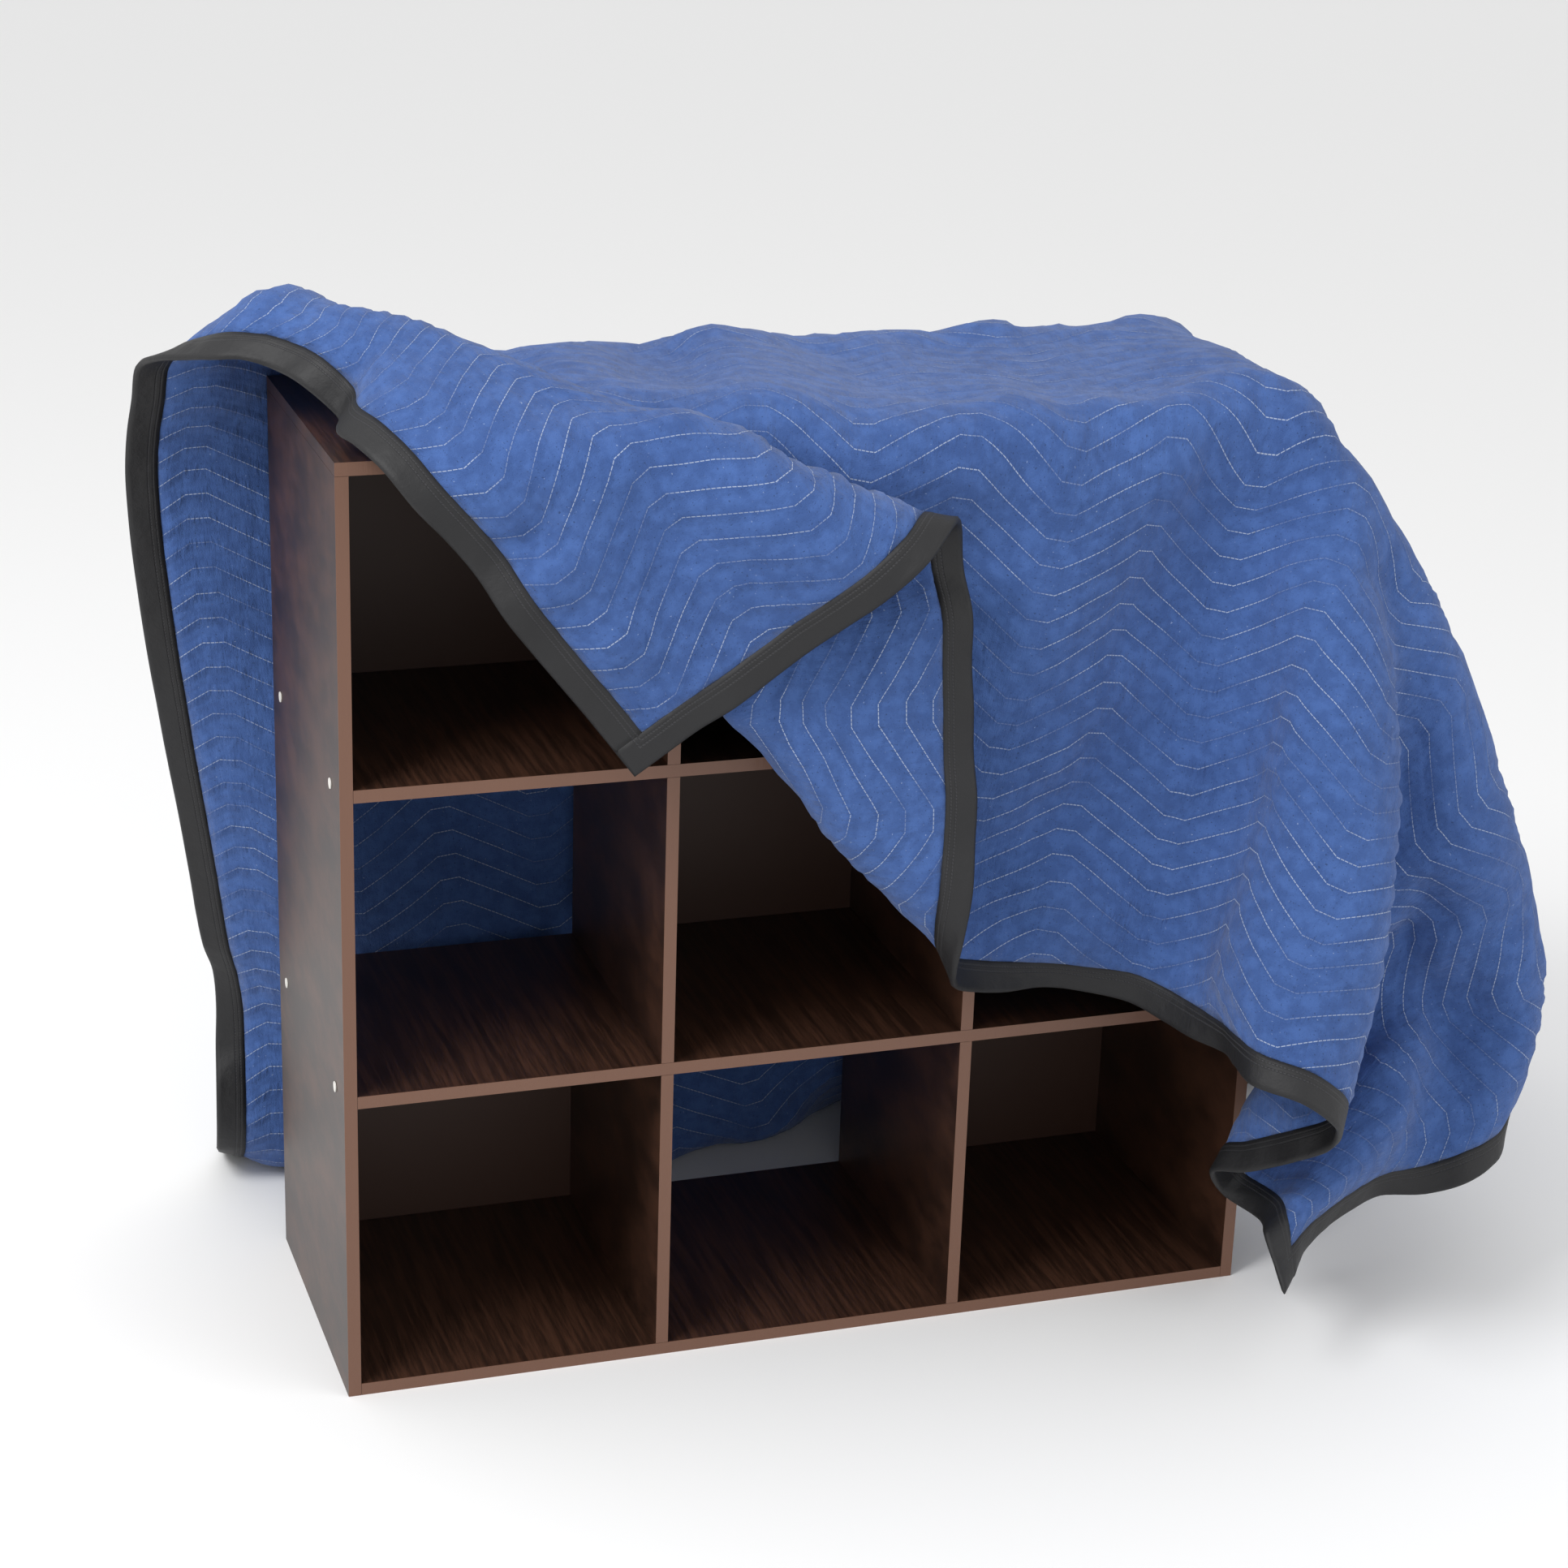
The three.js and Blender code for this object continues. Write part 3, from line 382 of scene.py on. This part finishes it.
def two_sided(name, outer, inner, uv, material):
    """A closed sheet between two grids of places."""
    rows, columns = outer.shape[:2]
    count = rows * columns
    index = np.arange(count).reshape(rows, columns)
    a, b, c, d = index[:-1, :-1], index[:-1, 1:], index[1:, 1:], index[1:, :-1]
    top = np.stack([a, b, c, d], axis=-1).reshape(-1, 4)
    rim = np.concatenate([index[0, :-1], index[:-1, -1], index[-1, :0:-1], index[:0:-1, 0]])
    after = np.roll(rim, -1)
    sides = np.stack([rim, rim + count, after + count, after], axis=-1)
    faces = np.concatenate([top, top[:, ::-1] + count, sides])
    vertices = np.concatenate([outer.reshape(-1, 3), inner.reshape(-1, 3)])
    flat = np.concatenate([uv.reshape(-1, 2)] * 2)
    return new_object(name, vertices, faces, flat, material)


BLUE_LIGHT = (0.062, 0.128, 0.345, 1)
BLUE_DARK = (0.040, 0.084, 0.240, 1)
FLECK_DARK = (0.012, 0.018, 0.04, 1)
FLECK_WHITE = (0.38, 0.46, 0.62, 1)
THREAD = (0.42, 0.48, 0.60, 1)
# Noises on the flat cloth, with scales in cells per metre.
WORN = {"low": 0.40, "high": 0.56, "scale": 9.0}
BLOTCHES = {"low": 0.38, "high": 0.64, "scale": 60.0, "detail": 4.0, "roughness": 0.6}
SHADES = {"low": 0.3, "high": 0.75, "scale": 5.0}
DARK_FLECKS = {"low": 0.63, "high": 0.70, "scale": 420.0, "detail": 2.0}
WHITE_FLECKS = {"low": 0.70, "high": 0.76, "scale": 300.0, "detail": 2.0}
PUCKERS = {"scale": 170.0}
CREASES = {"scale": 26.0, "detail": 4.0, "roughness": 0.7}
FUZZ = {"scale": 900.0, "detail": 2.0}
# Puckers and creases are drawn out along v, across the stitch rows.
PUCKER_STRETCH = (1.0, 0.28, 1.0)
# Shares of the row pitch, measured from a row: the thread's edge, and how far the painted shade
# beside it and the puckers reach.
THREAD_FROM, THREAD_TO = 0.010, 0.024
PAINTED_SHADE_REACH = 0.18
PUCKER_REACH = 0.4
# Stitches along a row, and the shares of a stitch between which its thread comes up.
STITCHES_PER_METRE = 260.0
STITCH_FROM, STITCH_TO = 0.12, 0.3
# The least that is left of worn thread, and how much of each look is laid over the one before.
WORN_LEAST = 0.25
BLOTCH_SHARE = 0.6
DARK_SHARE = 0.5
WHITE_SHARE = 0.45
PAINTED_SHADE_SHARE = 0.6
THREAD_SHARE = 0.75
# How much each noise adds to the felt's bump, and the bump's height in metres.
PUCKER_BUMP, CREASE_BUMP, FUZZ_BUMP = 1.3, 1.6, 0.25
FELT_BUMP = 0.0028


def cloth_material():
    """Mottled felt with dark and white flecks, white thread in the rows, and painted shade and
    puckers beside it.
    """
    material, root, shader = new_material("quilted_felt", roughness=0.95)
    uv = root.made("ShaderNodeUVMap", out="UV", uv_map="flat")
    u, v = uv.part(0), uv.part(1)
    turn = (u - FIRST_CREST) * (0.5 / COLUMN_PITCH)
    flank = 1.0 - (turn - (turn + 0.5).math("FLOOR")).math("ABSOLUTE") * 4.0
    shape = (flank / FLAT_FROM).math("MINIMUM", 1.0).math("MAXIMUM", -1.0) * WAVE_HALF
    phase = (v - WAVE_MIDDLE - shape) * (1 / ROW_PITCH)
    near = 0.5 - (phase.math("FRACT") - 0.5).math("ABSOLUTE")
    stitches = (u * STITCHES_PER_METRE).math("FRACT").step(STITCH_FROM, STITCH_TO)
    worn = patches(root, uv, **WORN) * (1 - WORN_LEAST) + WORN_LEAST
    thread = (1.0 - near.step(THREAD_FROM, THREAD_TO)) * stitches * worn
    blotch = patches(root, uv, **BLOTCHES)
    shade = patches(root, uv, **SHADES)
    mottle = blotch * BLOTCH_SHARE + shade * (1 - BLOTCH_SHARE)
    colour = mixed(root, mottle, BLUE_DARK, BLUE_LIGHT)
    dark = patches(root, uv, **DARK_FLECKS)
    white = patches(root, uv, **WHITE_FLECKS)
    colour = mixed(root, dark * DARK_SHARE, colour, FLECK_DARK)
    colour = mixed(root, white * WHITE_SHARE, colour, FLECK_WHITE)
    # Painted shade: the felt is darkened towards the dark blue beside each stitch row, where the
    # puffs dip into the seam.
    painted_seam_shade = (1.0 - near.step(0.0, PAINTED_SHADE_REACH)) * PAINTED_SHADE_SHARE
    colour = mixed(root, painted_seam_shade, colour, BLUE_DARK)
    colour = mixed(root, thread * THREAD_SHARE, colour, THREAD)
    feed(root.tree, shader.inputs["Base Color"], colour)
    drawn_out = uv.stretched(PUCKER_STRETCH)
    pucker = noise(root, drawn_out, **PUCKERS) * (1.0 - near.step(0.0, PUCKER_REACH))
    creases = noise(root, drawn_out, **CREASES)
    fuzz = noise(root, uv, **FUZZ)
    relief = pucker * PUCKER_BUMP + creases * CREASE_BUMP + fuzz * FUZZ_BUMP
    bumped(root, shader, relief, distance=FELT_BUMP)
    shader.inputs["Sheen Weight"].default_value = 0.12
    shader.inputs["Specular IOR Level"].default_value = 0.15
    return material


felt = cloth_material()
ROWS_PER_PITCH = 4
# About as many mesh rows as the two hems would take up.
HEM_ROWS = 8
MESH_ROWS = int(BLANKET_LENGTH / ROW_PITCH * ROWS_PER_PITCH) - HEM_ROWS
MESH_COLUMNS = 148
HALF_SHEET = 0.0015
# The puffs stand this much as high on the inner side as on the outer one.
INNER_PUFF = 0.5
# The distances from the hem over which the wave and the puffs reach their full size, and the
# share of the puffs that is left at the hem.
WAVE_FADE = 0.08
PUFF_FADE = 0.012
HEM_PUFF = 0.15
u_line = np.linspace(EDGE, FAR_U, MESH_COLUMNS)
v_line = np.linspace(EDGE, FAR_V, MESH_ROWS)
u_grid, v_grid = np.meshgrid(u_line, v_line)
# The mesh rows follow the stitch rows, and straighten towards the hems.
from_hem = np.minimum(v_grid - EDGE, FAR_V - v_grid)
v_grid = v_grid + wave(u_grid) * np.clip(from_hem / WAVE_FADE, 0, 1)
place, normal = on_cloth(u_grid, v_grid)
height = quilt_height(u_grid, v_grid)
near_hem = np.minimum(np.minimum(u_grid - EDGE, FAR_U - u_grid), from_hem)
height *= np.clip(near_hem / PUFF_FADE, HEM_PUFF, 1)
outer = place + normal * (HALF_SHEET + height)[..., None]
inner = place - normal * (HALF_SHEET + INNER_PUFF * height)[..., None]
blanket = two_sided("blanket", outer, inner, np.stack([u_grid, v_grid], axis=-1), felt)
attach(blanket, "root")
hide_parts("quilted_panel")

# ---- Binding: four strips folded over the hem, with a double row of stitches ----

BINDING_BLACK = (0.0060, 0.0060, 0.0072, 1)
BINDING_THREAD = (0.022, 0.022, 0.025, 1)
BINDING_HALF = 0.0030
# Over this width the strip rounds off at its outer edge and is pressed flatter at its inner one.
ROUND_OFF = 0.004
THINNEST = 0.25
PRESSED = 0.35
UNEVEN_BINDING_SHARE = 0.10
UNEVEN_BINDING = {"seed": 11, "size": 0.03}
# Two stitch rows, by their distance from the outer edge, and where the thread's edge fades.
STITCH_ROWS = (0.022, 0.026)
TAPE_THREAD_FROM, TAPE_THREAD_TO = 0.0004, 0.0009
TAPE_STITCHES_PER_METRE = 330.0
TAPE_STITCH_FROM, TAPE_STITCH_TO = 0.15, 0.4
TAPE_WRINKLES = {"scale": 45.0}
TAPE_WEAVE = {"scale": 700.0, "detail": 2.0}
WEAVE_BUMP, TAPE_THREAD_BUMP = 0.15, 0.5


def binding_material():
    """Black tape with a fine weave, two stitch rows near its inner edge and slight wrinkles."""
    material, root, shader = new_material("binding_tape", roughness=0.62)
    uv = root.made("ShaderNodeUVMap", out="UV", uv_map="flat")
    u, v = uv.part(0), uv.part(1)
    from_side = u.math("MINIMUM", BLANKET_WIDTH - u)
    from_end = v.math("MINIMUM", BLANKET_LENGTH - v)
    from_edge = from_side.math("MINIMUM", from_end)
    dash = ((u + v) * TAPE_STITCHES_PER_METRE).math("FRACT").step(TAPE_STITCH_FROM, TAPE_STITCH_TO)
    rows = [
        1.0 - (from_edge - row).math("ABSOLUTE").step(TAPE_THREAD_FROM, TAPE_THREAD_TO)
        for row in STITCH_ROWS
    ]
    thread = (rows[0] + rows[1]) * dash
    colour = mixed(root, thread, BINDING_BLACK, BINDING_THREAD)
    feed(root.tree, shader.inputs["Base Color"], colour)
    wrinkles = noise(root, uv, **TAPE_WRINKLES)
    weave = noise(root, uv, **TAPE_WEAVE)
    relief = wrinkles + weave * WEAVE_BUMP - thread * TAPE_THREAD_BUMP
    bumped(root, shader, relief, distance=0.0022, strength=0.8)
    return material


def binding(name, node, u_range, v_range, counts):
    """One strip of binding over a range of the flat cloth, puffed between its edges."""
    u, v = np.meshgrid(np.linspace(*u_range, counts[0]), np.linspace(*v_range, counts[1]))
    place, normal = on_cloth(u, v)
    edge = np.minimum(np.minimum(u, BLANKET_WIDTH - u), np.minimum(v, BLANKET_LENGTH - v))
    rounded = np.sqrt(np.clip(edge / ROUND_OFF, 0, 1))
    pressed = 1 - PRESSED * np.clip((edge - (EDGE - ROUND_OFF)) / ROUND_OFF, 0, 1)
    thickness = THINNEST + (1 - THINNEST) * (rounded * pressed)
    uneven = 1 + UNEVEN_BINDING_SHARE * ripple(u, v, **UNEVEN_BINDING)
    half = normal * (BINDING_HALF * thickness * uneven)[..., None]
    strip = two_sided(name, place + half, place - half, np.stack([u, v], axis=-1), tape)
    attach(strip, "root")
    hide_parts(node)
    return strip


tape = binding_material()
# Mesh lines across a strip and along it, and the strips' ranges on the flat cloth.
ACROSS, ALONG = 9, 300
FULL_WIDTH, BETWEEN_HEMS = (0, BLANKET_WIDTH), (EDGE, FAR_V)
NEAR_HEM, BACK_HEM, RIGHT_HEM = (0, EDGE), (FAR_V, BLANKET_LENGTH), (FAR_U, BLANKET_WIDTH)
strips = [
    binding("front_binding", "binding_front", FULL_WIDTH, NEAR_HEM, (ALONG, ACROSS)),
    binding("back_binding", "binding_back", FULL_WIDTH, BACK_HEM, (ALONG, ACROSS)),
    binding("left_binding", "binding_left", NEAR_HEM, BETWEEN_HEMS, (ACROSS, ALONG)),
    binding("right_binding", "binding_right", RIGHT_HEM, BETWEEN_HEMS, (ACROSS, ALONG)),
]

# ---- Floor and light ----

FLOOR_HALF = 12.0
FLOOR_WHITE = (0.86, 0.86, 0.86, 1)
WORLD_STRENGTH = 0.9
LIGHTS_AIM_AT = Vector((0, 0, 0.5))

floor_mesh = bpy.data.meshes.new("floor")
floor_corners = [
    (x * FLOOR_HALF, y * FLOOR_HALF, 0) for x, y in ((-1, -1), (1, -1), (1, 1), (-1, 1))
]
floor_mesh.from_pydata(floor_corners, [], [(0, 1, 2, 3)])
floor = bpy.data.objects.new("floor", floor_mesh)
bpy.context.collection.objects.link(floor)
floor_mesh.materials.append(plain_material("floor_white", FLOOR_WHITE, roughness=0.8))

world = bpy.data.worlds.new("studio")
world.use_nodes = True
world.node_tree.nodes["Background"].inputs["Color"].default_value = (1.0, 1.0, 1.0, 1)
world.node_tree.nodes["Background"].inputs["Strength"].default_value = WORLD_STRENGTH
bpy.context.scene.world = world


def area_light(name, at, size, power):
    """A square soft light aimed at the middle of the bookcase."""
    data = bpy.data.lights.new(name, "AREA")
    data.size = size
    data.energy = power
    lamp = bpy.data.objects.new(name, data)
    lamp.location = at
    lamp.rotation_euler = (LIGHTS_AIM_AT - Vector(at)).to_track_quat("-Z", "Y").to_euler()
    bpy.context.collection.objects.link(lamp)


area_light("key", at=(-2.4, -1.2, 3.4), size=1.4, power=95)
area_light("fill", at=(2.8, -2.6, 2.0), size=2.6, power=22)
bpy.context.scene.view_settings.view_transform = "Standard"
